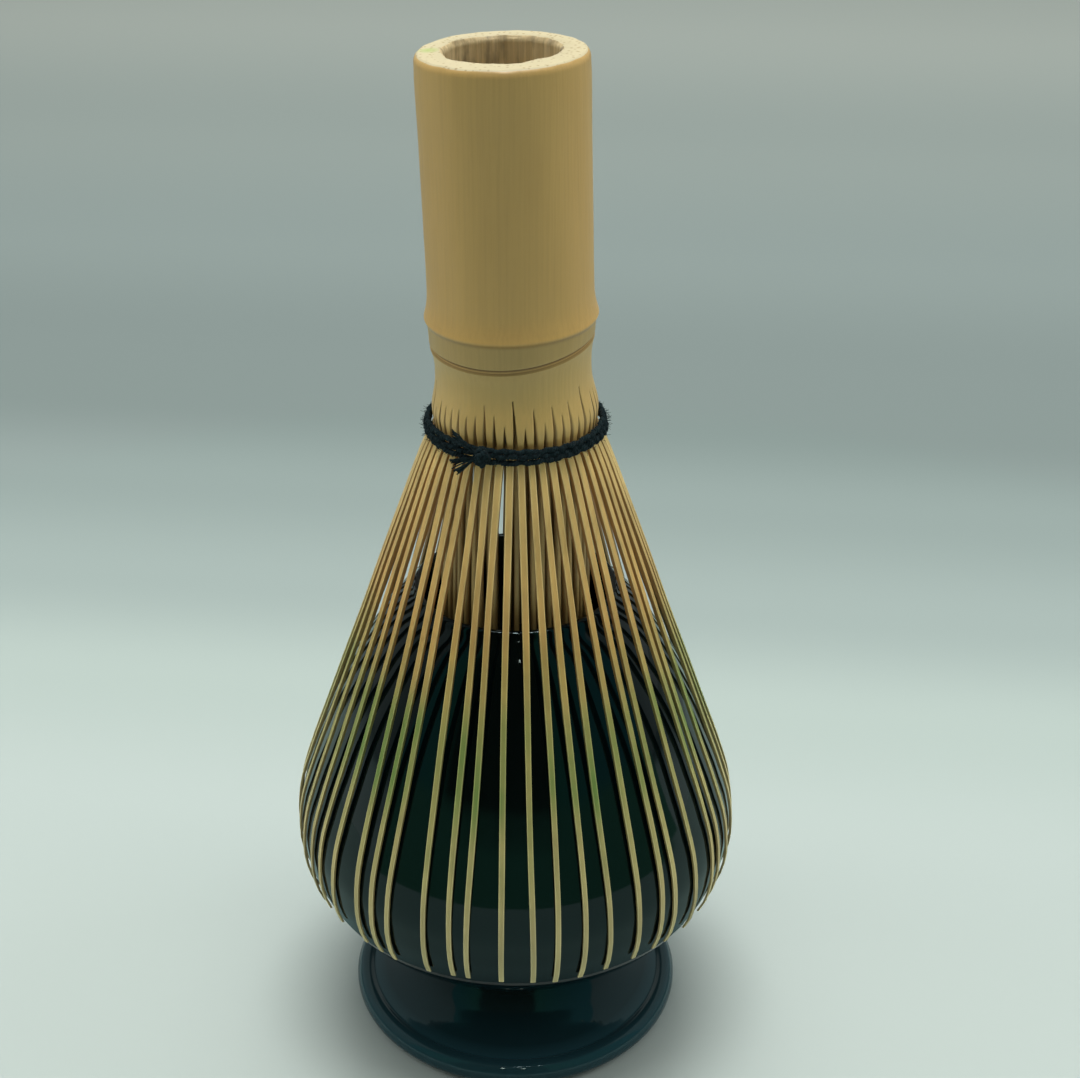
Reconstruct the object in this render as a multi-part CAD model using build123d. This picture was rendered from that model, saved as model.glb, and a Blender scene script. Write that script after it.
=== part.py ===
"""Bamboo tea whisk standing on its glazed whisk stand.

The stand is the root. The whisk rests over it: a culm whose lower end splits into
a cage of outer tines that lie over the stand's round body, and a bundle of inner
tines that hang down into its cup. A dark thread binds the roots of the tines.

Millimetres, +Z up, origin on the table under the middle of the stand. The front of
the object, with the knot of the thread, faces -Y, and +X is to the right of it.
"""
import os
from math import asin, cos, degrees, pi, radians, sin, sqrt

from build123d import *

os.makedirs("parts", exist_ok=True)

# ---------------------------------------------------------------- overall sizes
STAND_HEIGHT = 67.4          # table to the top of the cup's lip
BODY_RADIUS = 29.3           # widest part of the stand's round body
CULM_RADIUS = 10.05          # handle
HANDLE_LENGTH = 31.4         # node ridge to the sawn top

# ---------------------------------------------------------------- stand
FOOT_RADIUS = 23.3
FOOT_RECESS_RADIUS = 17.5
FOOT_RECESS_DEPTH = 1.4
WAIST_RADIUS = 12.5
WAIST_HEIGHT = 8.7
BODY_HEIGHT = 30.0           # height of the widest part
CUP_DEPTH = 31.4
LIP_WALL = 1.6

# ---------------------------------------------------------------- culm
LEAN = 1.82                  # the culm leans this many degrees to the left of the cage
CULM_WALL = 3.2              # handle
COLLAR_WALL = 3.05           # below the node
SEPTUM = 3.2                 # the node's partition, between the two hollows
NODE_BULGE = 0.53
NECK_LENGTH = 3.7            # groove to node ridge
GROOVE_DEPTH = 0.22
COLLAR_LENGTH = 10.5         # thread to groove
COLLAR_PINCH = 0.45          # the collar is this much slimmer than the handle
COLLAR_FLARE = 0.3           # and flares to this much stouter above the thread
SLIT_WIDTH = 0.36

# ---------------------------------------------------------------- tines
OUTER_TINES = 52
RISE = 23.0                  # cup's lip to the thread
TUCK = 6.0                   # the tips end this far below the stand's widest part
ROOT_FLARE = 0.15            # at the thread the tines' skin is this far outside the handle's
TINE_ROOT_DEPTH = 1.15
TINE_TIP_DEPTH = 0.65
INNER_TINES = 52
INNER_SETBACK = 1.7          # skin of the inner tines behind that of the outer ones
INNER_SPACING = 0.45         # between two inner tines at their roots
INNER_DEPTH = 0.6
INNER_REACH = 13.4           # the inner tines hang this far below the cup's lip

# ---------------------------------------------------------------- thread
THREAD_DIAMETER = 0.7
THREAD_ROWS = 3
KNOT_ANGLE = -28.0
KNOT_RADIUS = 1.1
TAIL_RADIUS = 0.26

# ---------------------------------------------------------------- clearances
TINE_GAP = 0.3               # inner side of a tine to the stand's glaze
ROOT_GAP = 0.25              # root of a tine to the collar's teeth, either side of the thread
THREAD_GAP = 0.06            # thread to the skin it is wound on
CUP_CLEARANCE = 2.3          # inner tines to the wall of the cup

# ---------------------------------------------------------------- curve of an outer tine
# Height as a share of the way from tip to thread, and radius as a share of the way
# from the root out to the widest point. It runs straight out from the thread, turns
# over the stand's shoulder and tucks in a little below its widest part.
TINE_CURVE = [
    (0.00, 0.950),
    (0.03, 0.980),
    (0.09, 1.000),
    (0.18, 0.974),
    (0.27, 0.886),
    (0.36, 0.779),
    (0.48, 0.637),
    (0.60, 0.493),
    (0.72, 0.355),
    (0.84, 0.212),
    (0.95, 0.078),
    (1.00, 0.000),
]
# The inner tines drop almost straight into the cup: share of height, radius less root.
INNER_CURVE = [(0.0, 0.5), (0.12, 1.0), (0.35, 1.2), (0.7, 0.7), (1.0, 0.0)]

# ---------------------------------------------------------------- sizes that follow
THREAD_HEIGHT = STAND_HEIGHT + RISE
TIP_HEIGHT = BODY_HEIGHT - TUCK
GROOVE_HEIGHT = THREAD_HEIGHT + COLLAR_LENGTH
NODE_HEIGHT = GROOVE_HEIGHT + NECK_LENGTH
WHISK_TOP = NODE_HEIGHT + HANDLE_LENGTH
BORE_FLOOR = NODE_HEIGHT + 1.2
HOLLOW_ROOF = BORE_FLOOR - SEPTUM
LEAN_PIVOT = THREAD_HEIGHT - 2.4
BORE_RADIUS = CULM_RADIUS - CULM_WALL
HOLLOW_RADIUS = CULM_RADIUS - COLLAR_WALL
NODE_RADIUS = CULM_RADIUS + NODE_BULGE
COLLAR_RADIUS = CULM_RADIUS - COLLAR_PINCH
FLARE_RADIUS = CULM_RADIUS + COLLAR_FLARE
ROOT_RADIUS = CULM_RADIUS + ROOT_FLARE
CREST_RADIUS = BODY_RADIUS + TINE_GAP + TINE_TIP_DEPTH
TINE_WIDTH = 2 * pi * ROOT_RADIUS / OUTER_TINES - SLIT_WIDTH
INNER_ROOT_RADIUS = ROOT_RADIUS - INNER_SETBACK
INNER_WIDTH = 2 * pi * INNER_ROOT_RADIUS / INNER_TINES - INNER_SPACING
INNER_TIP_HEIGHT = STAND_HEIGHT - INNER_REACH
CUP_RADIUS = INNER_ROOT_RADIUS + max(out for _, out in INNER_CURVE) + CUP_CLEARANCE
RIM_RADIUS = CUP_RADIUS + LIP_WALL
CUP_FLOOR = STAND_HEIGHT - CUP_DEPTH


def between(curve, share):
    """Straight-line reading of a curve at a share of its height."""
    for (low, a), (high, b) in zip(curve, curve[1:]):
        if share <= high:
            return a + (b - a) * (share - low) / (high - low)
    return curve[-1][1]


def tine_depth(share):
    """A tine is deepest at its root and thins towards its tip."""
    return TINE_TIP_DEPTH + (TINE_ROOT_DEPTH - TINE_TIP_DEPTH) * share


def cage_radius(height):
    """Radius of the inner side of the cage of outer tines at a height."""
    share = (height - TIP_HEIGHT) / (THREAD_HEIGHT - TIP_HEIGHT)
    skin = ROOT_RADIUS + (CREST_RADIUS - ROOT_RADIUS) * between(TINE_CURVE, share)
    return skin - tine_depth(share)


def front(angle, radius, height):
    """A point at an angle from the front (-Y), positive towards the right (+X)."""
    return Vector(radius * sin(radians(angle)), -radius * cos(radians(angle)), height)


# ================================================================ whisk stand
# One slip-cast piece: spreading foot with a shallow recess under it, narrow waist,
# round body that the tines lie over, shoulder running up to a small cup with a lip.
shoulder = []
for step in (0.12, 0.27, 0.43, 0.60, 0.78, 0.92):
    z = BODY_HEIGHT + (STAND_HEIGHT - 1.0 - BODY_HEIGHT) * step
    spare = TINE_GAP + (0.6 + 3.6 * step) * step
    radius = cage_radius(z) - spare
    shoulder.append((max(radius, RIM_RADIUS + 0.4), z))

belly = BODY_HEIGHT - WAIST_HEIGHT
swell = BODY_RADIUS - WAIST_RADIUS
with BuildSketch(Plane.XZ) as stand_outline:
    with BuildLine():
        under = Polyline(
            (0, FOOT_RECESS_DEPTH),
            (FOOT_RECESS_RADIUS - 0.6, FOOT_RECESS_DEPTH),
            (FOOT_RECESS_RADIUS, 0),
            (FOOT_RADIUS - 1.9, 0),
        )
        edge = Spline(
            under @ 1,
            (FOOT_RADIUS - 0.45, 0.75),
            (FOOT_RADIUS, 2.2),
            (FOOT_RADIUS - 0.55, 3.35),
            (FOOT_RADIUS - 1.5, 3.8),
            tangents=((1, 0), (-1, 0)),
        )
        body = Spline(
            edge @ 1,
            (FOOT_RADIUS - 3.4, 3.65),
            (FOOT_RADIUS * 0.72, 4.1),
            (WAIST_RADIUS + 1.4, WAIST_HEIGHT - 2.8),
            (WAIST_RADIUS, WAIST_HEIGHT),
            (WAIST_RADIUS + 1.7, WAIST_HEIGHT + 0.127 * belly),
            (WAIST_RADIUS + 0.46 * swell, WAIST_HEIGHT + 0.268 * belly),
            (WAIST_RADIUS + 0.77 * swell, WAIST_HEIGHT + 0.465 * belly),
            (cage_radius(TIP_HEIGHT) - TINE_GAP, TIP_HEIGHT),
            (BODY_RADIUS, BODY_HEIGHT),
            *shoulder,
            (RIM_RADIUS, STAND_HEIGHT - 0.9),
            tangents=((-1, 0), (-0.3, 1)),
        )
        lip = ThreePointArc(
            body @ 1,
            (RIM_RADIUS - 0.75, STAND_HEIGHT),
            (CUP_RADIUS, STAND_HEIGHT - 1.0),
        )
        well = Spline(
            lip @ 1,
            (CUP_RADIUS + 0.3, STAND_HEIGHT - 10),
            (CUP_RADIUS + 0.2, CUP_FLOOR + 7),
            (CUP_RADIUS - 3.0, CUP_FLOOR + 1.0),
            (0, CUP_FLOOR),
            tangents=((0, -1), (-1, 0)),
        )
        Line(well @ 1, under @ 0)
    make_face()
whisk_stand = revolve(stand_outline.sketch, Axis.Z)
export_step(whisk_stand, "parts/whisk_stand.step")

# ================================================================ angles of the tines
# Split by hand, so the roots are nearly even but the blades bunch and gape below.
root_angles = []
tip_angles = []
for n in range(OUTER_TINES):
    even = -180.0 + 360.0 / OUTER_TINES * (n + 0.5)
    root_angles.append(even + 0.22 * sin(2.9 * n))
    tip_angles.append(even + 1.25 * sin(1.7 * n + 0.6) + 0.75 * sin(4.1 * n))

# ================================================================ culm
# Handle, node ridge with a sharp lower edge, neck band, scored groove, then the
# collar that narrows and flares again to the thread.
groove_z = GROOVE_HEIGHT
neck = NODE_RADIUS - 0.42
with BuildSketch(Plane.XZ) as culm_outline:
    with BuildLine():
        grip = Polyline(
            (0, BORE_FLOOR),
            (BORE_RADIUS - 1.6, BORE_FLOOR),
            (BORE_RADIUS, BORE_FLOOR + 1.4),
            (BORE_RADIUS, WHISK_TOP - 0.5),
            (BORE_RADIUS + 0.3, WHISK_TOP),
            (CULM_RADIUS - 0.7, WHISK_TOP),
        )
        crown = ThreePointArc(
            grip @ 1,
            (CULM_RADIUS - 0.2, WHISK_TOP - 0.2),
            (CULM_RADIUS, WHISK_TOP - 0.7),
        )
        side = Line(crown @ 1, (CULM_RADIUS, NODE_HEIGHT + 3.4))
        ridge = Spline(
            side @ 1,
            (CULM_RADIUS + 0.22, NODE_HEIGHT + 1.2),
            (NODE_RADIUS, NODE_HEIGHT),
            tangents=((0, -1), (0.2, -1)),
        )
        under_ridge = Spline(
            ridge @ 1,
            (neck + 0.08, NODE_HEIGHT - 0.75),
            (neck, groove_z + 0.35),
            tangents=((-0.6, -1), (0, -1)),
        )
        groove = Polyline(
            under_ridge @ 1,
            (neck - GROOVE_DEPTH, groove_z + 0.2),
            (neck - 0.06, groove_z),
            (neck - GROOVE_DEPTH - 0.06, groove_z - 0.2),
            (neck - 0.1, groove_z - 0.4),
        )
        collar = Spline(
            groove @ 1,
            (COLLAR_RADIUS, THREAD_HEIGHT + 8.0),
            (COLLAR_RADIUS + 0.13, THREAD_HEIGHT + 5.3),
            (FLARE_RADIUS - 0.05, THREAD_HEIGHT + 3.0),
            (FLARE_RADIUS, THREAD_HEIGHT + 2.2),
            (ROOT_RADIUS, THREAD_HEIGHT + 0.7),
            (ROOT_RADIUS - 0.05, THREAD_HEIGHT - 1.5),
            tangents=((-0.2, -1), (0, -1)),
        )
        Polyline(
            collar @ 1,
            (HOLLOW_RADIUS + 0.3, THREAD_HEIGHT - 1.5),
            (HOLLOW_RADIUS, THREAD_HEIGHT + 5),
            (HOLLOW_RADIUS, HOLLOW_ROOF - 1),
            (HOLLOW_RADIUS - 1.3, HOLLOW_ROOF),
            (0, HOLLOW_ROOF),
            grip @ 0,
        )
    make_face()
culm = revolve(culm_outline.sketch, Axis.Z)
pivot = Pos(0, 0, LEAN_PIVOT)
culm = pivot * Rot(0, -LEAN, 0) * Pos(0, 0, -LEAN_PIVOT) * culm

# The teeth end level, just above the middle row of the thread.
teeth_end = THREAD_HEIGHT + ROOT_GAP
culm = culm - Pos(0, 0, teeth_end - 10) * Box(60, 60, 20)

# Slits between the teeth: narrow wedges of different heights, closed at the top.
slits = []
for n in range(OUTER_TINES):
    following = root_angles[(n + 1) % OUTER_TINES] + (360.0 if n == OUTER_TINES - 1 else 0.0)
    middle = (root_angles[n] + following) / 2
    top = teeth_end + 2.6 + 1.1 * sin(3.3 * n) + 2.4 * max(0.0, sin(2.3 * n + 1.0)) ** 3
    with BuildSketch(Plane.XZ) as wedge:
        with BuildLine():
            Polyline(
                (-SLIT_WIDTH / 2, teeth_end - 1),
                (SLIT_WIDTH / 2, teeth_end - 1),
                (0.03, top),
                (-0.03, top),
                close=True,
            )
        make_face()
    blade = extrude(wedge.sketch, 5.2)
    slits.append(Rot(0, 0, middle) * Pos(0, -(HOLLOW_RADIUS - 1.0), 0) * blade)
culm = culm - slits
export_step(culm, "parts/culm.step")

# ================================================================ outer tines
# Each is a flat blade in an upright plane through its root and its tip. The blade is
# drawn in that plane: s runs outwards from the root, z is height.
root_top = THREAD_HEIGHT - ROOT_GAP
for n in range(OUTER_TINES):
    root = front(root_angles[n], ROOT_RADIUS, 0)
    tip = front(tip_angles[n], CREST_RADIUS, 0)
    across = (tip - root).normalized()
    aim = degrees(asin(root.cross(across).Z / ROOT_RADIUS))
    # A few blades stand a little off the glaze, and no two end at quite one height.
    off = 0.35 * max(0.0, sin(2.1 * n + 0.4)) ** 2
    lift = 0.9 * (0.5 + 0.5 * sin(5.3 * n))
    skin = []
    core = []
    for share, spread in TINE_CURVE:
        height = TIP_HEIGHT + lift * (1 - share) ** 4 + (root_top - TIP_HEIGHT) * share
        level = (height - TIP_HEIGHT) / (THREAD_HEIGHT - TIP_HEIGHT)
        radius = ROOT_RADIUS + (CREST_RADIUS - ROOT_RADIUS) * between(TINE_CURVE, level)
        radius += off * (1 - level) * (1 - abs(2 * level - 0.6) ** 2 * 0.3)
        inward = radius - tine_depth(level)
        sideways = ROOT_RADIUS * sin(radians(aim))
        along = ROOT_RADIUS * cos(radians(aim))
        skin.append((sqrt(radius**2 - sideways**2) - along, height))
        core.append((sqrt(inward**2 - sideways**2) - along, height))
    plane = Plane(origin=root, x_dir=across, z_dir=across.cross(Vector(0, 0, 1)))
    with BuildSketch(plane) as side_view:
        with BuildLine():
            outside = Spline(*skin)
            inside = Spline(*core)
            Line(outside @ 0, inside @ 0)
            Line(outside @ 1, inside @ 1)
        make_face()
    tine = extrude(side_view.sketch, TINE_WIDTH / 2, both=True)
    export_step(tine, f"parts/outer_tine_{n + 1:02d}.step")

# ================================================================ inner tines
# Four groups of thirteen short blades, each blade a separate solid.
inner_length = root_top - INNER_TIP_HEIGHT
groups = ["front", "right", "back", "left"]
per_group = INNER_TINES // len(groups)
for g, name in enumerate(groups):
    blades = []
    for k in range(per_group):
        n = g * per_group + k
        angle = 90.0 * g - 45.0 + 90.0 / per_group * (k + 0.5)
        drop = 1.6 * sin(3.7 * n)
        skin = []
        core = []
        for share, spread in INNER_CURVE:
            height = INNER_TIP_HEIGHT + drop * (1 - share) + inner_length * share
            skin.append((INNER_ROOT_RADIUS + spread, height))
            core.append((INNER_ROOT_RADIUS + spread - INNER_DEPTH, height))
        plane = Plane(origin=(0, 0, 0), x_dir=front(angle, 1, 0), z_dir=front(angle - 90, 1, 0))
        with BuildSketch(plane) as side_view:
            with BuildLine():
                outside = Spline(*skin)
                inside = Spline(*core)
                Line(outside @ 0, inside @ 0)
                Line(outside @ 1, inside @ 1)
            make_face()
        blades.append(extrude(side_view.sketch, INNER_WIDTH / 2, both=True))
    export_step(Compound(children=blades), f"parts/inner_tines_{name}.step")

# ================================================================ binding thread
# Three rows of cotton round the roots. The lowest row sits further out because the
# tines are already spreading there.
pitch = THREAD_DIAMETER * 0.94
lowest = THREAD_HEIGHT - pitch * (THREAD_ROWS - 1) / 2
spread_per_mm = (CREST_RADIUS - ROOT_RADIUS) * 0.078 / (0.05 * (THREAD_HEIGHT - TIP_HEIGHT))
sway = sin(radians(LEAN)) * (THREAD_HEIGHT + 1 - LEAN_PIVOT)
rows = []
for row in range(THREAD_ROWS):
    z = lowest + pitch * row
    spreading = (THREAD_HEIGHT - z + THREAD_DIAMETER / 4) * spread_per_mm
    skin_there = ROOT_RADIUS + max(sway, spreading)
    rows.append((skin_there + THREAD_GAP + THREAD_DIAMETER / 2, z))
with BuildSketch(Plane.XZ) as winding:
    for centre in rows:
        with Locations(centre):
            Circle(THREAD_DIAMETER / 2)
thread = revolve(winding.sketch, Axis.Z)

# Knot at the front left, a doubled lump with four short frayed tails.
knot_seat = rows[1][0] + KNOT_RADIUS * 0.62
knot = Pos(front(KNOT_ANGLE, knot_seat, THREAD_HEIGHT + 0.1)) * Sphere(KNOT_RADIUS)
second = Pos(front(KNOT_ANGLE + 7, knot_seat - 0.1, THREAD_HEIGHT - 0.4)) * Sphere(KNOT_RADIUS * 0.8)
thread = thread + knot + second
tails = [
    (KNOT_ANGLE - 8, knot_seat + 1.2, THREAD_HEIGHT + 3.0),
    (KNOT_ANGLE - 10, knot_seat + 1.4, THREAD_HEIGHT + 1.5),
    (KNOT_ANGLE - 9, knot_seat + 1.5, THREAD_HEIGHT - 0.9),
    (KNOT_ANGLE - 7, knot_seat + 1.7, THREAD_HEIGHT - 2.4),
]
start = front(KNOT_ANGLE, knot_seat + 0.3, THREAD_HEIGHT + 0.1)
for angle, radius, height in tails:
    end = front(angle, radius, height)
    run = end - start
    tail = Plane(origin=start, z_dir=run) * Cylinder(
        TAIL_RADIUS, run.length, align=(Align.CENTER, Align.CENTER, Align.MIN)
    )
    thread = thread + tail
export_step(thread, "parts/binding_thread.step")
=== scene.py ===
import math
import random

import bmesh
import bpy
from mathutils import Matrix, Vector, noise


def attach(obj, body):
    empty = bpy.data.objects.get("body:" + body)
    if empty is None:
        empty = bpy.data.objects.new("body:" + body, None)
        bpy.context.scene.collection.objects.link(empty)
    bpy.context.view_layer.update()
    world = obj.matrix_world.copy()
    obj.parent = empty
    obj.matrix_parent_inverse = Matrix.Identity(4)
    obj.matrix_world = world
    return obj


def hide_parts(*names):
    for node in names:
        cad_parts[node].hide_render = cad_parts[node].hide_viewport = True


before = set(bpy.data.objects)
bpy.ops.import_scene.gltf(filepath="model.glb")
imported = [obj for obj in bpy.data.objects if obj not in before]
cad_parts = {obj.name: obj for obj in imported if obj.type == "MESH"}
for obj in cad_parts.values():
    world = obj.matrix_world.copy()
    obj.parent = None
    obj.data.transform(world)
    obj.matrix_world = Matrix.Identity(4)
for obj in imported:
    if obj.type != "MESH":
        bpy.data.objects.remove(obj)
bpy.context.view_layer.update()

# ------------------------------------------------------------------ view
# A camera held a hand's width above the whisk and an arm's length in front, looking
# down on it, with the whisk a little left of the middle of the frame.
LOOKING_DOWN = 28.356
lens = bpy.data.cameras.new("view")
lens.lens = 58.94
lens.shift_x = 0.02266
lens.clip_start = 0.01
view = bpy.data.objects.new("view", lens)
view.location = (0, -0.20108, 0.18197)
view.rotation_euler = (math.radians(90 - LOOKING_DOWN), 0, 0)
bpy.context.scene.collection.objects.link(view)
bpy.context.scene.camera = view
bpy.context.scene.view_settings.view_transform = "Standard"

# ------------------------------------------------------------------ table and light
# A plain pale table top with painted half shade behind the whisk, a soft lamp overhead,
# and a dim room in front, painted on glowing sheets that show only in the glaze, with a dark
# middle.
TABLE_REACH = 3.5
TABLE_TURN = math.radians(6.5)
ROOM_DISTANCE = 0.50
ROOM_FLOOR_FROM = 0.20
ROOM_HEIGHT = 1.1
ROOM_FACING = 7.5
ROOM_SPAN = 156
SHADE_FROM = 0.026
SHADE_TO = 0.21
SHEET_HEIGHT = 0.004


def new_finish(name, roughness=0.5):
    """A material with its shader, and a short way to add and join nodes."""
    made = bpy.data.materials.new(name)
    made.use_nodes = True
    tree = made.node_tree
    shader = tree.nodes["Principled BSDF"]
    shader.inputs["Roughness"].default_value = roughness
    return made, tree, shader


def add(tree, kind, inputs=None, **settings):
    """A node of a kind, with its settings and its inputs, which are values or outputs."""
    made = tree.nodes.new(kind)
    for key, value in settings.items():
        setattr(made, key, value)
    for key, value in (inputs or {}).items():
        if isinstance(value, bpy.types.NodeSocket):
            tree.links.new(value, made.inputs[key])
        else:
            made.inputs[key].default_value = value
    return made


def ramp(tree, fac, stops, ease="LINEAR"):
    """Colours or greys set out along a value from 0 to 1."""
    made = add(tree, "ShaderNodeValToRGB", {"Fac": fac})
    made.color_ramp.interpolation = ease
    band = made.color_ramp.elements
    while len(band) < len(stops):
        band.new(0.5)
    for element, (place, tone) in zip(band, stops):
        element.position = place
        element.color = (*tone, 1) if isinstance(tone, tuple) else (tone, tone, tone, 1)
    return made.outputs["Color"]


def mix(tree, fac, a, b, how="MIX"):
    """Two colours mixed, multiplied or screened."""
    made = add(tree, "ShaderNodeMix", data_type="RGBA", blend_type=how)
    for socket, value in ((made.inputs[0], fac), (made.inputs[6], a), (made.inputs[7], b)):
        if isinstance(value, bpy.types.NodeSocket):
            tree.links.new(value, socket)
        elif isinstance(value, tuple):
            socket.default_value = (*value, 1)
        else:
            socket.default_value = value
    return made.outputs[2]


def place_of(tree, scale=(1, 1, 1), turn=(0, 0, 0)):
    """Object coordinates in metres, turned or stretched."""
    where = add(tree, "ShaderNodeTexCoord").outputs["Object"]
    placing = {"Vector": where, "Scale": scale, "Rotation": turn}
    return add(tree, "ShaderNodeMapping", placing).outputs["Vector"]


def share_of(tree, value, low, high):
    """How far a value has come, from 0 at low to 1 at high."""
    limits = {"Value": value, "From Min": low, "From Max": high}
    return add(tree, "ShaderNodeMapRange", limits).outputs["Result"]


def band_of(tree, vector, axis, low, high):
    """How far along an axis a point is, from 0 at low to 1 at high."""
    parts = add(tree, "ShaderNodeSeparateXYZ", {"Vector": vector})
    return share_of(tree, parts.outputs[axis], low, high)


def piece(name, made, finishes, smooth=True):
    """Turns a finished bmesh into an object at the origin."""
    mesh = bpy.data.meshes.new(name)
    made.to_mesh(mesh)
    made.free()
    for finish in finishes:
        mesh.materials.append(finish)
    if smooth:
        mesh.shade_smooth()
    obj = bpy.data.objects.new(name, mesh)
    bpy.context.scene.collection.objects.link(obj)
    return obj


table_with_painted_shade, tree, shader = new_finish("table_with_painted_shade", 0.6)
away = band_of(tree, place_of(tree, turn=(0, 0, TABLE_TURN)), "Y", -0.15, 0.65)
# Painted shade: the table darkens behind the whisk, then lightens again further back.
shade = ramp(tree, away, [
    (0.0, (0.508, 0.592, 0.576)),
    (0.18, (0.503, 0.582, 0.567)),
    (0.23, (0.484, 0.561, 0.549)),
    (0.279, (0.433, 0.516, 0.497)),
    (0.325, (0.329, 0.400, 0.394)),
    (0.381, (0.263, 0.325, 0.322)),
    (0.435, (0.201, 0.254, 0.251)),
    (0.491, (0.204, 0.256, 0.254)),
    (0.594, (0.241, 0.298, 0.295)),
    (0.75, (0.277, 0.331, 0.321)),
    (1.0, (0.378, 0.427, 0.404)),
], "EASE")
tree.links.new(shade, shader.inputs["Base Color"])
bm = bmesh.new()
bmesh.ops.create_grid(bm, x_segments=8, y_segments=8, size=TABLE_REACH)
table_top = piece("table_top", bm, [table_with_painted_shade], smooth=False)


def lamp(name, place, aim, size, power, tint=(1, 1, 1)):
    """A soft lamp of a width and height, aimed at a point."""
    light = bpy.data.lights.new(name, "AREA")
    light.shape = "RECTANGLE"
    light.size, light.size_y = size
    light.energy = power
    light.color = tint
    made = bpy.data.objects.new(name, light)
    made.location = place
    made.rotation_euler = (Vector(aim) - Vector(place)).to_track_quat("-Z", "Y").to_euler()
    bpy.context.scene.collection.objects.link(made)
    return made


WHISK_MIDDLE = (0, 0, 0.07)
lamp("overhead", (0.0, 0.09, 1.1), (0, 0, 0.05), (0.55, 0.55), 9.0, (1, 0.98, 0.935))
for name, side, power in (("fill_left", -0.9, 1.9), ("fill_right", 0.9, 2.5)):
    fill = lamp(name, (side, 0.08, 0.58), WHISK_MIDDLE, (0.5, 0.5), power, (1, 0.99, 0.97))
    fill.visible_glossy = False
for number, place in enumerate(((-0.10, -0.2, 1.0), (0.07, -0.24, 1.0), (0.22, -0.1, 1.0))):
    spot = lamp(f"ceiling_{number + 1}", place, WHISK_MIDDLE, (0.20, 0.15), 2.2)
    spot.visible_diffuse = False
for number, across in enumerate((-0.075, 0.045)):
    place = (across, -0.43, 0.60)
    spark = lamp(f"spark_{number + 1}", place, (0, 0, 0.03), (0.022, 0.05), 0.06, (1, 0.93, 0.8))
    spark.visible_diffuse = False


def glow_finish(name):
    """A finish that takes no light and gives off its own."""
    made, tree, shader = new_finish(name, 1.0)
    shader.inputs["Emission Strength"].default_value = 1
    shader.inputs["Base Color"].default_value = (0, 0, 0, 1)
    shader.inputs["Specular IOR Level"].default_value = 0
    return made, tree, shader


def only_in_glaze(sheet):
    """Lets a staged sheet show in glossy reflections and nowhere else."""
    sheet.visible_camera = False
    sheet.visible_diffuse = False
    sheet.visible_shadow = False


# A glowing sheet, seen only in the glaze, paints the reflection of the dim side of the room:
# the dark floor past the edge of the table, and a dark wall curved round the front, black
# in the middle and teal beside it.
room_reflection_glow, tree, shader = glow_finish("painted_room_reflection_finish")
across = band_of(tree, place_of(tree), "X", -0.5, 0.5)
dark = ramp(tree, across, [
    (0.0, (0.07, 0.25, 0.27)), (0.15, (0.08, 0.29, 0.20)), (0.19, (0.040, 0.042, 0.020)),
    (0.67, (0.040, 0.042, 0.020)), (0.71, (0.08, 0.29, 0.20)), (1.0, (0.07, 0.25, 0.27)),
])
upright = band_of(tree, place_of(tree), "Z", 0.07, 0.11)
dark = mix(tree, upright, (0.115, 0.31, 0.19), dark)
tree.links.new(dark, shader.inputs["Emission Color"])
bm = bmesh.new()
bmesh.ops.create_grid(bm, x_segments=48, y_segments=12, size=0.5)
for v in bm.verts:
    turn = math.radians(ROOM_FACING + ROOM_SPAN * v.co.x)
    along = (v.co.y + 0.5) * 2
    reach = ROOM_FLOOR_FROM + (ROOM_DISTANCE - ROOM_FLOOR_FROM) * min(1.0, along)
    up = SHEET_HEIGHT + ROOM_HEIGHT * max(0.0, along - 1)
    v.co = (reach * math.sin(turn), -reach * math.cos(turn), up)
only_in_glaze(piece("painted_room_reflection", bm, [room_reflection_glow], smooth=False))

# The table close round the foot lies in the whisk's own soft shade. A glowing ring, seen
# only in the glaze, paints that shade into the reflection, a little deeper than the table itself
# shows it.
shade_finish, tree, shader = glow_finish("painted_own_shade_reflection_finish")
out = add(tree, "ShaderNodeVectorMath", {0: place_of(tree)}, operation="LENGTH")
deep = ramp(tree, share_of(tree, out.outputs["Value"], SHADE_FROM, 0.15), [
    (0.0, (0.05, 0.09, 0.09)), (0.08, (0.20, 0.31, 0.29)),
    (0.22, (0.40, 0.56, 0.50)), (1.0, (0.47, 0.61, 0.54)),
])
tree.links.new(deep, shader.inputs["Emission Color"])
bm = bmesh.new()
bmesh.ops.create_circle(bm, cap_ends=False, segments=96, radius=SHADE_FROM)
for grown in bmesh.ops.extrude_edge_only(bm, edges=bm.edges[:])["geom"]:
    if isinstance(grown, bmesh.types.BMVert):
        grown.co *= SHADE_TO / SHADE_FROM
bmesh.ops.translate(bm, vec=(0, 0, SHEET_HEIGHT - 0.0002), verts=bm.verts)
only_in_glaze(piece("painted_own_shade_reflection", bm, [shade_finish], smooth=False))

room = bpy.data.worlds.new("room")
bpy.context.scene.world = room
room.use_nodes = True
tree = room.node_tree
way = add(tree, "ShaderNodeTexCoord").outputs["Generated"]
depth = band_of(tree, way, "Y", -1.0, 0.7)
height = band_of(tree, way, "Z", -0.1, 1.0)
walls = ramp(tree, depth, [
    (0.0, (0.315, 0.312, 0.275)), (0.35, (0.33, 0.335, 0.30)),
    (0.75, (0.55, 0.59, 0.56)), (1.0, (0.63, 0.67, 0.64)),
])
ceiling = ramp(tree, height, [(0.0, 0.8), (0.5, 0.9), (1.0, 1.25)])
backdrop = tree.nodes["Background"]
tree.links.new(mix(tree, 1.0, walls, ceiling, "MULTIPLY"), backdrop.inputs["Color"])
backdrop.inputs["Strength"].default_value = 0.75

# ------------------------------------------------------------------ whisk stand
# One piece of slip-cast stoneware, dipped in a near-black glaze with a breath of
# teal. Its outline is turned: foot, waist, round body, shoulder and rolled lip.
# Outlines and sizes from here on are in millimetres.
MM = 0.001
STAND_STEPS = 128


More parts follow.
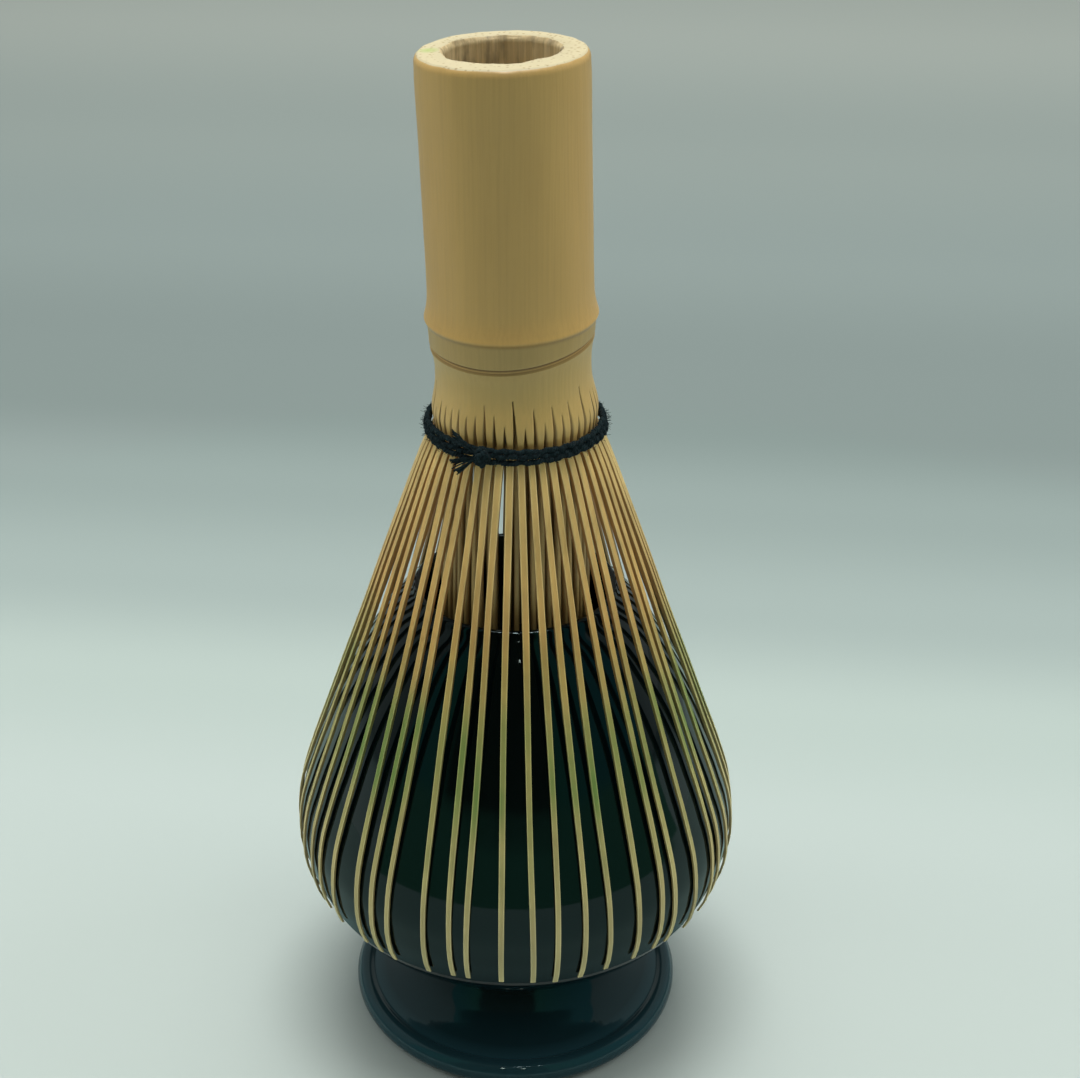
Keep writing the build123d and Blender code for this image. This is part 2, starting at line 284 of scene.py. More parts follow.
def turned(name, outline, steps, smooth):
    """A mesh turned about Z from an outline of (radius, height) points. A point with a
    third value is a corner."""
    sweep = bpy.data.curves.new(name, "CURVE")
    sweep.dimensions = "3D"
    sweep.resolution_u = smooth
    run = sweep.splines.new("BEZIER")
    run.bezier_points.add(len(outline) - 1)
    for point, (radius, height, *sharp) in zip(run.bezier_points, outline):
        point.co = (radius * MM, 0, height * MM)
        kind = "VECTOR" if sharp else "AUTO"
        point.handle_left_type = kind
        point.handle_right_type = kind
    drawn = bpy.data.objects.new(name, sweep)
    bpy.context.scene.collection.objects.link(drawn)
    bpy.context.view_layer.update()
    flat = bpy.data.meshes.new_from_object(drawn)
    bpy.data.objects.remove(drawn)
    made = bmesh.new()
    made.from_mesh(flat)
    bmesh.ops.spin(
        made, geom=made.verts[:] + made.edges[:], cent=(0, 0, 0), axis=(0, 0, 1),
        angle=math.tau, steps=steps, use_merge=True,
    )
    bmesh.ops.remove_doubles(made, verts=made.verts, dist=2e-6)
    bmesh.ops.recalc_face_normals(made, faces=made.faces)
    return made


def raise_by(tree, shader, height, strength, depth):
    """Raises the surface by a grey, to a depth in metres."""
    raised = {"Height": height, "Strength": strength, "Distance": depth}
    bump = add(tree, "ShaderNodeBump", raised)
    tree.links.new(bump.outputs["Normal"], shader.inputs["Normal"])


def patches(tree, stretch, detail, scale=1):
    """Soft patches as a grey, so many to the metre each way."""
    spread = {"Vector": place_of(tree, stretch), "Scale": scale, "Detail": detail}
    return add(tree, "ShaderNodeTexNoise", spread).outputs["Fac"]


foot = [
    (0, 1.4), (16.6, 1.4, 1), (17.4, 0.1, 1), (21.2, 0.02, 1), (22.85, 0.75), (23.3, 2.1),
    (22.75, 3.25), (21.8, 3.65), (20.7, 3.3, 1), (19.4, 3.85), (17.0, 5.3), (14.5, 7.4),
]
waist_and_body = [
    (12.9, 9.8), (14.1, 12.3), (19.7, 15.6), (25.2, 19.7), (28.45, 24.8), (29.75, 30.3),
    (29.4, 35.0), (27.95, 40.0), (25.9, 45.5), (23.3, 51.8), (19.9, 58.3), (15.9, 64.3),
]
lip_and_cup = [
    (13.8, 66.4), (12.9, 67.35), (12.05, 66.3),
    (12.15, 57.4), (12.1, 43.0), (9.0, 37.0), (0, 36.0),
]
bm = turned("whisk_stand_glaze", foot + waist_and_body + lip_and_cup, STAND_STEPS, 8)
glaze, tree, shader = new_finish("glaze", 0.07)
ripple = patches(tree, (1, 1, 1), 3, scale=95)
pool = patches(tree, (1, 1, 1), 2, scale=22)
near_black = [(0.3, (0.0006, 0.0026, 0.0032)), (0.7, (0.0012, 0.0044, 0.0052))]
tone = ramp(tree, pool, near_black)
# The glaze is paler and bluer over the foot.
foot_rise = band_of(tree, place_of(tree), "Z", 0.0034, 0.0100)
thick = ramp(tree, foot_rise, [(0.0, 1.0), (0.10, 0.45), (1.0, 0.0)])
tone = mix(tree, thick, tone, (0.0160, 0.0500, 0.0640))
tree.links.new(tone, shader.inputs["Base Color"])
# The ring the foot stands on is wiped bare of glaze.
bare = band_of(tree, place_of(tree), "Z", 0.0003, 0.0012)
rough = ramp(tree, bare, [(0.0, 0.55), (1.0, 0.06)])
tree.links.new(rough, shader.inputs["Roughness"])
raise_by(tree, shader, ripple, 0.25, 0.0002)
shader.inputs["Specular IOR Level"].default_value = 0.34
shader.inputs["Specular Tint"].default_value = (0.72, 0.96, 1.0, 1)
stand = piece("whisk_stand_glaze", bm, [glaze])
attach(stand, "stand")
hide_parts("whisk_stand")

# ------------------------------------------------------------------ culm
# A length of bamboo, sawn at the top, with the node's ridge, a scored double line
# round the neck, and the collar split by knife into fifty-two teeth.
LEAN = math.radians(1.82)
PIVOT = Vector((0, 0, 88.0 * MM))
THREAD_Z = 90.4
TEETH_END = 90.65
COLLAR_TOP = 97.3
COLLAR = COLLAR_TOP - TEETH_END
LEAN_WHOLE = 96.0
NECK_RADIUS = 9.6
BORE = 6.9
HOLLOW = 7.0
TEETH = 52
SLIT = 0.62
CULM_STEPS = 6 * TEETH
tooth_angles = [-180 + 360 / TEETH * (n + 0.5) + 0.22 * math.sin(2.9 * n) for n in range(TEETH)]


def smooth_line(line, share):
    """Reads a line of (share, value) points, with no corners at the points."""
    k = max(0, min(len(line) - 2, sum(share > place for place, _ in line) - 1))
    low, high = line[k], line[k + 1]
    before, after = line[max(0, k - 1)], line[min(len(line) - 1, k + 2)]
    span = high[0] - low[0]
    t = (share - low[0]) / span
    start = (high[1] - before[1]) / (high[0] - before[0]) * span
    end = (after[1] - low[1]) / (after[0] - low[0]) * span
    return (
        (2 * t**3 - 3 * t**2 + 1) * low[1] + (t**3 - 2 * t**2 + t) * start
        + (3 * t**2 - 2 * t**3) * high[1] + (t**3 - t**2) * end
    )


def culm_radius(height):
    """Outer radius of the collar in mm between its teeth and its top."""
    shape = [
        (90.3, 10.17), (91.1, 10.2), (92.0, 10.31), (92.9, 10.33), (93.8, 10.18),
        (95.0, 9.9), (96.2, 9.68), (97.3, NECK_RADIUS), (98.4, NECK_RADIUS),
    ]
    return smooth_line(shape, height)


def leaned(co):
    """A point of the upright culm, moved to where the culm's lean puts it."""
    low, high = TEETH_END * MM, LEAN_WHOLE * MM
    share = min(1.0, max(0.0, (co.z - low) / (high - low)))
    return PIVOT + Matrix.Rotation(-LEAN * share, 3, "Y") @ (co - PIVOT)


neck_and_scored_ring = [
    (culm_radius(COLLAR_TOP), COLLAR_TOP, 1), (NECK_RADIUS, 98.4), (9.68, 99.2), (9.95, 100.25),
    (10.04, 100.5, 1), (9.8, 100.68, 1), (10.0, 100.9, 1), (9.83, 101.1, 1), (10.12, 101.28, 1),
]
node_ridge = [
    (10.15, 102.4), (10.2, 103.4), (10.26, 103.95), (10.5, 104.38), (10.58, 104.62),
    (10.5, 105.0), (10.27, 105.9), (10.1, 107.2),
]
handle_and_sawn_end = [
    (10.05, 109), (10.05, 116), (10.05, 126), (10.05, 134.6), (9.93, 135.55), (9.5, 136.0),
    (9.2, 136.02, 1), (7.15, 136.0, 1),
]
bore_to_septum = [
    (6.88, 135.6), (6.85, 134.8), (6.85, 128), (6.85, 120), (6.85, 112), (6.85, 107.4),
    (6.3, 106.2), (4.6, 105.8), (0, 105.75, 1),
]
hollow_under_septum = [
    (0, 102.6, 1), (5.6, 102.55), (6.9, 101.6), (HOLLOW, 100.4), (HOLLOW, 98.5),
    (HOLLOW, COLLAR_TOP, 1),
]
upper = turned(
    "culm_upper",
    neck_and_scored_ring + node_ridge + handle_and_sawn_end + bore_to_septum + hollow_under_septum,
    CULM_STEPS, 5,
)


def weathered(made):
    """Makes a turned culm a little out of round, and its bore and rim ragged."""
    for v in made.verts:
        flat = Vector((v.co.x, v.co.y, 0))
        if flat.length > 1e-4:
            way = flat.normalized()
            if flat.length > 9 * MM and 97.4 * MM < v.co.z < 103.4 * MM:
                # The scored ring was cut by eye, and climbs to the right.
                near = min((v.co.z / MM - 97.4) / 3.3, (103.4 - v.co.z / MM) / 2.1, 1.0)
                v.co.z += (0.5 * way.x + 0.75 * way.x**2) * near * near * (3 - 2 * near) * MM
            swell = noise.noise(Vector((way.x * 1.3, way.y * 1.3, v.co.z * 40)))
            bore = 0
            if v.co.z > 104 * MM:
                bore = max(0.0, 1 - abs(flat.length - BORE * MM) / (0.9 * MM))
            ragged = 0.55 * noise.noise(Vector((way.x * 2.1, way.y * 2.1, 7.0)))
            ragged += 0.2 * noise.noise(Vector((way.x * 9, way.y * 9, v.co.z * 90)))
            v.co += way * MM * (0.07 * swell + (ragged - 0.22) * bore)
            v.co.y += 0.5 * MM * bore
            if v.co.z > 135.7 * MM:
                v.co.z += 0.09 * MM * noise.noise(Vector((v.co.x * 500, v.co.y * 500, 3)))


# The split collar: a sheet wrapped round, its slit columns cut away, then given a wall.
ROWS, COLUMNS = 22, 6
ROW = COLLAR / ROWS
WALL = 2.6
MIDDLE_OF_WALL = 8.3
lower = bmesh.new()
bmesh.ops.create_grid(lower, x_segments=TEETH * COLUMNS, y_segments=ROWS, size=0.5)
tops = []
for n in range(TEETH):
    wish = min(6.2, 4.0 + 1.1 * math.sin(3.3 * n) + 2.2 * max(0.0, math.sin(2.3 * n + 1.0)) ** 3)
    tops.append(max(2, round(wish / ROW)) * ROW)
cut = []
for face in lower.faces:
    middle = face.calc_center_median()
    n, k = divmod(int((middle.x + 0.5) * TEETH * COLUMNS), COLUMNS)
    if k == COLUMNS - 1 and (middle.y + 0.5) * COLLAR < tops[n]:
        cut.append(face)


def tooth_angle(n):
    """The middle of a tooth in degrees, counting on past the last and before the first."""
    laps, tooth = divmod(n, TEETH)
    return tooth_angles[tooth] + 360 * laps


def half_slit(n, rise):
    """Half the slit after a tooth, in degrees, narrowing to a hairline at its top."""
    width = SLIT * max(0.0, 1 - rise / tops[n % TEETH]) ** 0.75
    return max(0.05, width) / 10.3 * 180 / math.pi / 2


for v in lower.verts:
    column = round((v.co.x + 0.5) * TEETH * COLUMNS)
    rise = (v.co.y + 0.5) * COLLAR
    n, k = divmod(column, COLUMNS)
    left = (tooth_angle(n - 1) + tooth_angle(n)) / 2 + half_slit(n - 1, rise)
    right = (tooth_angle(n) + tooth_angle(n + 1)) / 2 - half_slit(n, rise)
    even = -180 + 360 * column / (TEETH * COLUMNS)
    settle = min(1.0, max(0.0, (rise / COLLAR - 0.8) / 0.2))
    split = left + (right - left) * k / (COLUMNS - 1)
    angle = math.radians(split * (1 - settle) + even * settle)
    radius = culm_radius(TEETH_END + rise) * MM
    v.co = (radius * math.sin(angle), -radius * math.cos(angle), (TEETH_END + rise) * MM)
bmesh.ops.delete(lower, geom=cut, context="FACES")
bmesh.ops.remove_doubles(lower, verts=lower.verts, dist=5e-6)
bmesh.ops.recalc_face_normals(lower, faces=lower.faces)
if sum(f.normal.dot(f.calc_center_median() * Vector((1, 1, 0))) for f in lower.faces) < 0:
    bmesh.ops.reverse_faces(lower, faces=lower.faces)
bmesh.ops.solidify(lower, geom=lower.faces[:], thickness=WALL * MM)

# Its top edge is opened and set on the bottom edge of the culm above it.
near_top = (COLLAR_TOP - 0.12) * MM
top_rim = [f for f in lower.faces if all(v.co.z > near_top for v in f.verts)]
bmesh.ops.delete(lower, geom=top_rim, context="FACES")
step = math.tau / CULM_STEPS
for v in lower.verts:
    if v.co.z > near_top:
        turn = round(math.atan2(v.co.y, v.co.x) / step) * step
        outside = v.co.xy.length > MIDDLE_OF_WALL * MM
        radius = (culm_radius(COLLAR_TOP) if outside else HOLLOW) * MM
        v.co = (radius * math.cos(turn), radius * math.sin(turn), COLLAR_TOP * MM)
collar = bpy.data.meshes.new("culm_lower")
lower.to_mesh(collar)
lower.free()
bm = upper
bm.from_mesh(collar)
bmesh.ops.remove_doubles(bm, verts=bm.verts, dist=3e-6)
for face in bm.faces:
    middle = face.calc_center_median()
    out = Vector((middle.x, middle.y, 0))
    facing = face.normal.dot(out.normalized()) if out.length > 1e-5 else 0
    if middle.z > 135.5 * MM and face.normal.z > 0.7:
        face.material_index = 1
    # the bore takes the paler copy of the flesh, whose paleness is painted light
    elif middle.z > 105 * MM and out.length < 7.7 * MM:
        face.material_index = 3
    elif middle.z < COLLAR_TOP * MM and facing < 0.5 or facing < -0.3:
        face.material_index = 2
rise = bm.verts.layers.float.new("rise")
for v in bm.verts:
    v[rise] = v.co.z
weathered(bm)
for v in bm.verts:
    v.co = leaned(v.co)


def fibres(tree, along=(0, 0, 0), fine=2600, length=45):
    """Fine fibres that run up the culm, as a grey from 0 to 1."""
    strands = {"Vector": place_of(tree, (fine, fine, length), along), "Scale": 1}
    made = add(tree, "ShaderNodeTexNoise", {**strands, "Detail": 4, "Roughness": 0.6})
    return made.outputs["Fac"]


# Scraped and dried outer skin: tan, faintly mottled, with fine fibres. The collar is paler,
# the scored lines are dark, and the ridge has painted shade along its foot and a painted
# highlight on its crest.
culm_finish, tree, shader = new_finish("culm_skin", 0.42)
grain = fibres(tree, (0, LEAN, 0))
broad = patches(tree, (70, 70, 22), 3)
pale = ramp(tree, broad, [(0.3, (0.528, 0.334, 0.107)), (0.7, (0.598, 0.388, 0.130))])
streaks = ramp(tree, grain, [(0.32, 0.955), (0.6, 1.02)])
colour = mix(tree, 1.0, pale, streaks, "MULTIPLY")
height = add(tree, "ShaderNodeAttribute", attribute_name="rise").outputs["Fac"]
bands_and_painted_ridge_light = ramp(tree, share_of(tree, height, 0.088, 0.138), [
    (0.00, (1.18, 1.22, 1.18)), (0.14, (1.12, 1.16, 1.15)), (0.22, (0.94, 0.98, 0.98)),
    (0.2522, (0.88, 0.90, 0.90)), (0.2534, (0.30, 0.19, 0.13)), (0.2546, (1.10, 1.04, 0.95)),
    (0.2606, (1.10, 1.04, 0.95)), (0.2618, (0.26, 0.17, 0.12)), (0.2632, (0.84, 0.87, 0.90)),
    # painted shade at the foot of the ridge, then a painted highlight on its crest
    (0.315, (0.82, 0.85, 0.87)), (0.324, (0.56, 0.50, 0.42)), (0.331, (1.12, 1.06, 0.93)),
    (0.345, (1.04, 1.01, 0.96)), (1.0, (1.0, 1.0, 1.0)),
])
tree.links.new(mix(tree, 1.0, colour, bands_and_painted_ridge_light, "MULTIPLY"), shader.inputs["Base Color"])
raise_by(tree, shader, grain, 0.18, 0.0002)

# Sawn end: cream pith dotted with the cut ends of the fibres, with one green stain.
end_grain, tree, shader = new_finish("end_grain", 0.7)
dots = add(tree, "ShaderNodeTexVoronoi", {"Vector": place_of(tree), "Scale": 1500})
cream = [(0.12, (0.40, 0.30, 0.15)), (0.34, (0.60, 0.525, 0.33))]
pith = ramp(tree, dots.outputs["Distance"], cream)
stain_at = {0: place_of(tree), 1: (-0.0099, 0.0008, 0.1363)}
from_stain = add(tree, "ShaderNodeVectorMath", stain_at, operation="DISTANCE").outputs["Value"]
stain = ramp(tree, share_of(tree, from_stain, 0.0004, 0.0016), [(0.0, 1.0), (1.0, 0.0)])
tree.links.new(mix(tree, stain, pith, (0.40, 0.50, 0.16)), shader.inputs["Base Color"])


def cut_face(name, roughness, stretch, tones, grain_of, shades, raised):
    """Cut bamboo: tones in patches, shaded and raised by its fibres."""
    made, tree, shader = new_finish(name, roughness)
    tone = ramp(tree, patches(tree, stretch, 4), tones)
    grain = fibres(tree, fine=grain_of[0], length=grain_of[1])
    tone = mix(tree, 1.0, tone, ramp(tree, grain, shades), "MULTIPLY")
    tree.links.new(tone, shader.inputs["Base Color"])
    raise_by(tree, shader, grain, *raised)
    return made


# Cut and inner faces: the brown flesh under the skin, darker in patches.
flesh = cut_face(
    "bamboo_flesh", 0.6, (220, 220, 90),
    [(0.32, (0.24, 0.14, 0.048)), (0.5, (0.48, 0.31, 0.12)), (0.72, (0.60, 0.43, 0.19))],
    (2000, 60), [(0.3, 0.75), (0.65, 1.1)], (0.4, 0.0002),
)
# The bore: flesh painted paler as painted light down the bore, with grey-brown patches.
lit_bore_flesh = cut_face(
    "lit_bore_flesh", 0.7, (420, 420, 130),
    [(0.36, (0.34, 0.27, 0.16)), (0.48, (0.70, 0.55, 0.30)), (0.72, (0.80, 0.65, 0.37))],
    (2400, 90), [(0.3, 0.72), (0.62, 1.0)], (0.5, 0.0003),
)

culm = piece("culm_bamboo", bm, [culm_finish, end_grain, flesh, lit_bore_flesh])
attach(culm, "whisk")
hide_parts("culm")

# ------------------------------------------------------------------ outer tines
# Long blades whittled from the collar, one to a tooth: a strip of skin outside, its
# edges pared pale, brown flesh at the sides, square-cut tips. Tea has stained them green.
ROOT_TOP = 90.15
TIP = 24.0
ROOT_RADIUS = 10.2
CREST_RADIUS = 30.25
TINE_WIDTH = 0.872
TINE_ROWS = 36
TINE_EASE = 0.15
OUTER_LINE = [
    (0.0, 0.918), (0.03, 0.962), (0.09, 0.998), (0.18, 0.974), (0.27, 0.886), (0.36, 0.779),
    (0.48, 0.637), (0.60, 0.493), (0.72, 0.355), (0.84, 0.212), (0.95, 0.078), (1.0, 0.0),
]


def blade(rows, ease):
    """A straight bar, 1 wide, 1 deep and 1 high, with its long edges eased, in rows."""
    made = bmesh.new()
    bmesh.ops.create_cube(made, size=1)
    bmesh.ops.translate(made, vec=(0, 0.5, 0.5), verts=made.verts)
    upright = [e for e in made.edges if abs(e.verts[0].co.z - e.verts[1].co.z) > 0.5]
    bmesh.ops.bevel(
        made, geom=upright, offset=ease, segments=1, profile=0.5, affect="EDGES", material=-1
    )
    for k in range(1, rows):
        whole = made.verts[:] + made.edges[:] + made.faces[:]
        bmesh.ops.bisect_plane(made, geom=whole, plane_co=(0, 0, k / rows), plane_no=(0, 0, 1))
    for face in made.faces:
        face.material_index = 0 if face.normal.y < -0.9 else 1 if face.normal.y < -0.2 else 2
    return made


def tea_stain(tree, rise, strength):
    """How green a blade is, from 0 to 1, by height and in patches."""
    stain = ramp(tree, rise, [
        (0.20, 0.0), (0.34, 0.40), (0.44, 1.0), (0.53, 0.92), (0.61, 0.40), (0.72, 0.0),
    ], "EASE")
    wander = [(0.28, 0.35 * strength), (0.62, strength)]
    return mix(tree, 1.0, stain, ramp(tree, patches(tree, (170, 170, 28), 3), wander), "MULTIPLY")


def tine_finish(name, tones, green, strength):
    """One face of a blade: its tones from tip to root, and its green where stained."""
    made, tree, shader = new_finish(name, 0.5)
    rise = band_of(tree, place_of(tree), "Z", 0.018, 0.092)
    plain = ramp(tree, rise, tones)
    mottle = ramp(tree, patches(tree, (420, 420, 60), 4), [(0.3, 0.80), (0.7, 1.14)])
    plain = mix(tree, 1.0, plain, mottle, "MULTIPLY")
    stained = mix(tree, tea_stain(tree, rise, strength), plain, green)
    tree.links.new(stained, shader.inputs["Base Color"])
    raise_by(tree, shader, fibres(tree, fine=4200, length=60), 0.3, 0.0001)
    return made


tine_finishes = [
    tine_finish("tine_skin", [
        (0.0, (0.54, 0.45, 0.21)), (0.32, (0.55, 0.440, 0.175)),
        (0.66, (0.57, 0.330, 0.088)), (1.0, (0.72, 0.50, 0.175)),
    ], (0.13, 0.235, 0.040), 0.95),
    tine_finish("tine_edge", [
        (0.0, (0.69, 0.61, 0.32)), (0.32, (0.75, 0.635, 0.305)),
        (0.66, (0.72, 0.51, 0.180)), (1.0, (0.84, 0.66, 0.30)),
    ], (0.27, 0.39, 0.10), 0.8),
    # The sides are painted lighter near the tips and the root: painted light in the shade beside
    # the blades.
    tine_finish("tine_side", [
        (0.0, (0.42, 0.34, 0.15)), (0.32, (0.36, 0.26, 0.10)),
        (0.66, (0.37, 0.19, 0.052)), (1.0, (0.49, 0.27, 0.086)),
    ], (0.12, 0.17, 0.04), 0.8),
]

for n in range(TEETH):
    name = f"outer_tine_{n + 1:02d}"
    even = -180 + 360 / TEETH * (n + 0.5)
    tip_angle = math.radians(even + 1.25 * math.sin(1.7 * n + 0.6) + 0.75 * math.sin(4.1 * n))
    root_angle = math.radians(tooth_angles[n])
    root = Vector((math.sin(root_angle), -math.cos(root_angle), 0)) * ROOT_RADIUS
    tip = Vector((math.sin(tip_angle), -math.cos(tip_angle), 0)) * CREST_RADIUS
    outwards = (tip - root).normalized()
    sideways = outwards.cross(Vector((0, 0, 1)))
    aside = root.dot(sideways)
    along = root.dot(outwards)
    off = 0.35 * max(0.0, math.sin(2.1 * n + 0.4)) ** 2
    lift = 0.9 * (0.5 + 0.5 * math.sin(5.3 * n))
    bm = blade(TINE_ROWS, TINE_EASE)
    for v in bm.verts:
        share = v.co.z
        height = TIP + lift * (1 - share) ** 4 + (ROOT_TOP - TIP) * share
        level = (height - TIP) / (THREAD_Z - TIP)
        radius = ROOT_RADIUS + (CREST_RADIUS - ROOT_RADIUS) * smooth_line(OUTER_LINE, level)
        stray = off * (1 - level) * (1 - abs(2 * level - 0.6) ** 2 * 0.3)
        thick = 0.30 + 0.55 * level
        radius += stray - v.co.y * thick
        out = math.sqrt(radius**2 - aside**2) - along
        width = TINE_WIDTH * (0.74 + 0.26 * level) * (1 + 0.06 * math.sin(9 * share + n))
        sway = 0.20 * math.sin(6.5 * share + 1.9 * n) * (1 - level) * min(1.0, 3 * (1 - level))
        v.co = (root + outwards * out + sideways * (v.co.x * width + sway)) * MM
        v.co.z = height * MM
    bmesh.ops.recalc_face_normals(bm, faces=bm.faces)
    tine = piece(name + "_bamboo", bm, tine_finishes)
    tine.data.set_sharp_from_angle(angle=math.radians(32))
    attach(tine, name)
    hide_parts(name)

# ------------------------------------------------------------------ inner tines
# Every second splinter of the collar, bent inwards and left standing as a bundle that
# hangs down into the cup of the stand.
INNER_ROOT = 94.5
INNER_TIP = 54.0
INNER_RADIUS = 8.5
SPLINTERS = 13
SPLINTER_WIDTH = 0.68
INNER_LINE = [(0.0, 0.5), (0.11, 1.0), (0.31, 1.2), (0.63, 0.7), (0.89, 0.0), (1.0, -0.1)]
# The bundle grows lighter toward its top, partly its own colour and partly painted light in the
# shade among the blades.
inner_finishes = [
    tine_finish("inner_skin", [
        (0.0, (0.46, 0.38, 0.15)), (0.6, (0.50, 0.345, 0.120)), (1.0, (0.70, 0.49, 0.18)),
    ], (0.20, 0.22, 0.06), 0.8),
    tine_finish("inner_side", [
        (0.0, (0.32, 0.23, 0.09)), (0.6, (0.38, 0.24, 0.085)), (1.0, (0.54, 0.34, 0.125)),
    ], (0.14, 0.16, 0.05), 0.8),
]
for group, side_name in enumerate(("front", "right", "back", "left")):
    name = f"inner_tines_{side_name}"
    bundle = bmesh.new()
    for k in range(SPLINTERS):
        n = SPLINTERS * group + k
        angle = 90 * group - 45 + 90 / SPLINTERS * (k + 0.5) + 0.8 * math.sin(2.3 * n + 0.5)
        if side_name == "back":
            crowd = 3.3 * math.sin(math.pi * (k + 0.5) / SPLINTERS)
            angle += crowd - (3.0 if k == 7 else 0.0)
        elif side_name == "front":
            angle += {4: -2.0, 5: 2.0}.get(k, 0.0)
        angle = math.radians(angle)
        outwards = Vector((math.sin(angle), -math.cos(angle), 0))
        sideways = outwards.cross(Vector((0, 0, 1)))
        bottom = INNER_TIP + 1.6 * math.sin(3.7 * n)
        bm = blade(20, 0.22)
        for face in bm.faces:
            face.material_index = min(1, face.material_index)
        for v in bm.verts:
            share = v.co.z
            height = bottom + (INNER_ROOT - bottom) * share
            radius = INNER_RADIUS + smooth_line(INNER_LINE, share) - 0.6 * v.co.y
            sway = 0.09 * math.sin(6 * share + 1.3 * n) * (1 - share)
            v.co = (outwards * radius + sideways * (v.co.x * SPLINTER_WIDTH + sway)) * MM
            v.co.z = height * MM
        bmesh.ops.recalc_face_normals(bm, faces=bm.faces)
        single = bpy.data.meshes.new("splinter")
        bm.to_mesh(single)
        bm.free()
        bundle.from_mesh(single)
        bpy.data.meshes.remove(single)
    tine = piece(name + "_bamboo", bundle, inner_finishes)
    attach(tine, "whisk")
    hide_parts(name)

# ------------------------------------------------------------------ binding thread
# Dark cotton thread, two strands twisted together, wound three rows round the roots
# and knotted at the front left with its ends left frayed.
random.seed(11)
cotton, tree, shader = new_finish("cotton", 0.95)
fluff = patches(tree, (1, 1, 1), 4, scale=2600)
dyed = ramp(tree, fluff, [(0.3, (0.0012, 0.0055, 0.0080)), (0.72, (0.007, 0.024, 0.030))])
tree.links.new(dyed, shader.inputs["Base Color"])
shader.inputs["Specular IOR Level"].default_value = 0.12
shader.inputs["Sheen Weight"].default_value = 0.04
shader.inputs["Sheen Roughness"].default_value = 0.6
raise_by(tree, shader, fluff, 0.7, 0.0002)


def strand(points, thickness, closed=False, sides=2):
    """A round strand of thread along points in mm, as a mesh."""
    line = bpy.data.curves.new("strand", "CURVE")
    line.dimensions = "3D"
    line.bevel_depth = thickness * MM
    line.bevel_resolution = sides
    line.use_fill_caps = not closed
    line.resolution_u = 3
    run = line.splines.new("POLY")
    run.points.add(len(points) - 1)
    for point, (x, y, z) in zip(run.points, points):
        point.co = (x * MM, y * MM, z * MM, 1)
    run.use_cyclic_u = closed
    drawn = bpy.data.objects.new("strand", line)
    bpy.context.scene.collection.objects.link(drawn)
    bpy.context.view_layer.update()
    mesh = bpy.data.meshes.new_from_object(drawn)
    bpy.data.objects.remove(drawn)
    return mesh


binding = bmesh.new()
PLIES = (0, math.pi)
PLY_RADIUS = 0.215
TWISTS = 96
ROUND_POINTS = 780
rows = [(11.14, -0.56, 0.1), (11.05, 0.0, 2.0), (10.92, 0.56, 4.1)]
for radius, offset, phase in rows:
    for ply in PLIES:
        points = []
        for k in range(ROUND_POINTS):
            a = math.tau * k / ROUND_POINTS
            twist = a * TWISTS + ply
            weave = 0.10 * math.cos(a * TEETH + phase) + 0.07 * math.sin(a * 5 + phase)
            r = radius + weave + 0.15 * math.cos(twist)
            spread = 0.90 + 0.30 * max(0.0, math.cos(a + 0.15)) ** 2
            z = THREAD_Z + offset * spread + 0.17 * math.sin(twist)
            z += 0.10 * math.sin(a * 3 + phase) + 0.08 * math.sin(a * 26 + phase)
            points.append((r * math.sin(a), -r * math.cos(a), z))
        binding.from_mesh(strand(points, PLY_RADIUS, True))


def at(angle, radius, height):
    """A point on a cylinder round the culm, by degrees from the front."""
    turn = math.radians(angle)
    return Vector((radius * math.sin(turn), -radius * math.cos(turn), height))


# The knot: loops drawn over each other, then four ends, each a brush of loose fibres.
KNOT = -22.0
LOOP_POINTS = 60
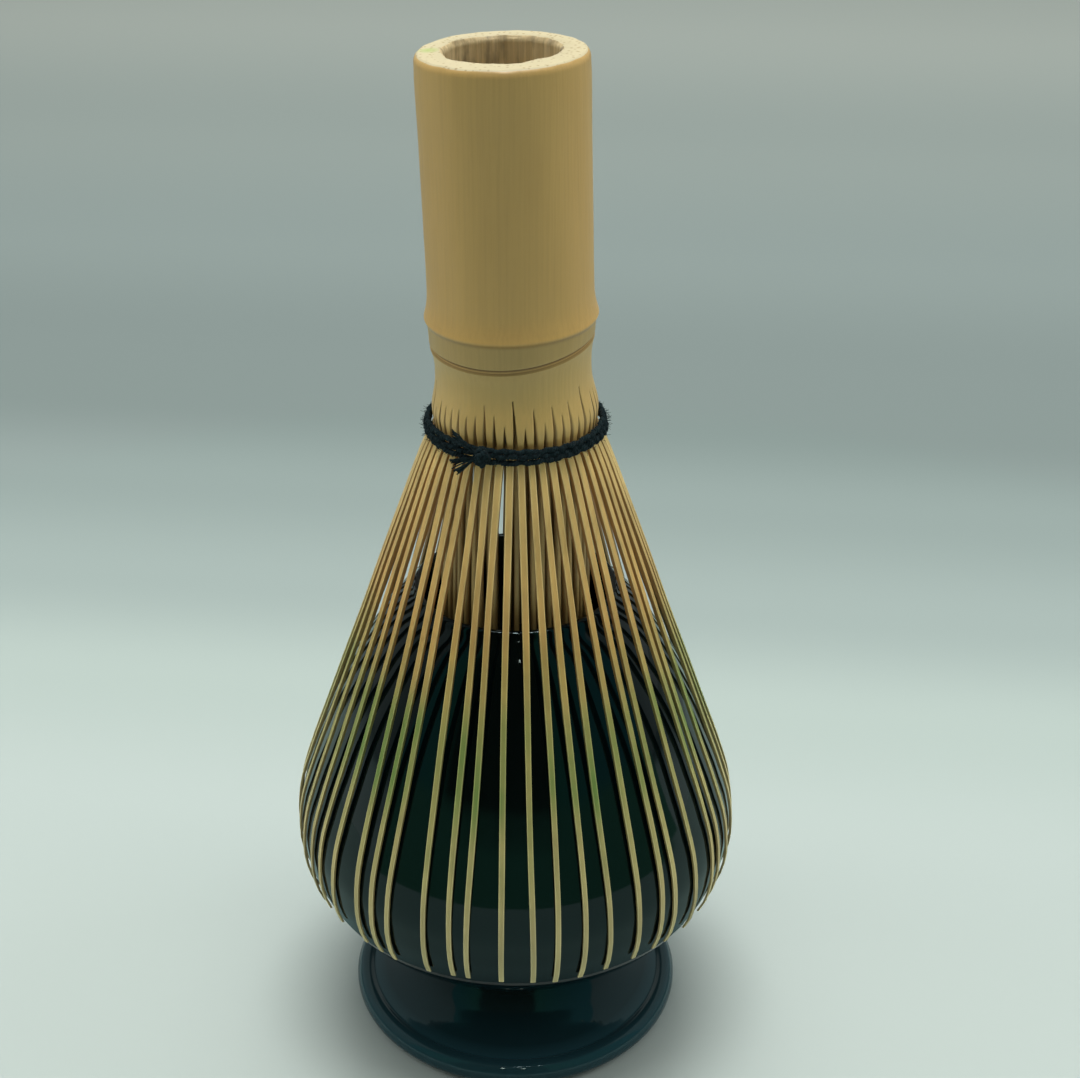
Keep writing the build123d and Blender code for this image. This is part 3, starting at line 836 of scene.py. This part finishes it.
# Each loop's turn and width in degrees, its height, and how far out it lies.
loops = [
    (0, 9.0, 0.9, 0.5), (50, 7.0, 1.0, 0.75), (110, 7.5, 0.85, 0.9),
    (160, 6.0, 1.1, 0.65), (75, 10.0, 0.65, 0.3), (20, 4.6, 0.6, 0.95),
    (130, 4.0, 0.55, 0.8), (90, 2.6, 0.3, 1.0), (10, 5.5, 0.35, 0.6),
]
for k, (spin, wide, tall, out) in enumerate(loops):
    s = math.radians(spin)
    for ply in PLIES:
        points = []
        for j in range(LOOP_POINTS):
            t = math.tau * j / LOOP_POINTS
            u, w = math.cos(t), math.sin(t)
            aside = (u * math.cos(s) - w * math.sin(s) * 0.6) * wide / 2
            rise = (u * math.sin(s) * 0.6 + w * math.cos(s)) * tall
            r = 11.25 + out + 0.35 * math.sin(2 * t + k) + 0.12 * math.cos(9 * t + ply)
            z = THREAD_Z + 0.1 + rise + 0.12 * math.sin(9 * t + ply)
            points.append(tuple(at(KNOT + 2 + aside, r, z)))
        binding.from_mesh(strand(points, 0.18, True))
knot_front = at(KNOT, 11.9, THREAD_Z + 0.2)
tails = [
    (KNOT - 15, 12.0, 2.5), (KNOT - 10, 12.3, 2.0),
    (KNOT - 16, 12.3, -1.2), (KNOT - 13, 12.5, -2.3),
]
for angle, radius, drop in tails:
    for hair in range(11):
        across, outwards = random.uniform(-1, 1), random.uniform(-1, 1)
        height = THREAD_Z + drop * random.uniform(0.8, 1.08) + 0.3 * outwards
        end = at(angle + 1.8 * across, radius + 0.3 * outwards, height)
        middle = (knot_front + end) / 2 + Vector((0, -0.5, 0.35 if drop > 0 else 0.1))
        points = []
        for j in range(9):
            t = j / 8
            spot = knot_front * (1 - t) ** 2 + middle * 2 * t * (1 - t) + end * t * t
            curl = Vector((math.sin(9 * t + hair), 0, math.cos(8 * t + hair))) * 0.10 * t
            points.append(tuple(spot + curl))
        binding.from_mesh(strand(points, 0.085, False, 1))

# Fine fuzz standing off the cotton.
HAIRS = 620
for hair in range(HAIRS):
    radius, offset, phase = random.choice(rows)
    angle = random.uniform(-180, 180)
    start = at(angle, radius + 0.25, THREAD_Z + offset * 1.1 + random.uniform(-0.3, 0.3))
    lean = Vector((random.uniform(-1, 1), random.uniform(-1, 1), random.uniform(-0.8, 0.8)))
    out = at(angle, 1, 0).normalized()
    end = start + out * random.uniform(0.15, 0.55) + lean * 0.35
    middle = (start + end) / 2 + Vector((random.uniform(-0.2, 0.2), 0, random.uniform(-0.2, 0.2)))
    binding.from_mesh(strand([tuple(start), tuple(middle), tuple(end)], 0.022, False, 0))
thread = piece("binding_thread_cotton", binding, [cotton])
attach(thread, "whisk")
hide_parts("binding_thread")
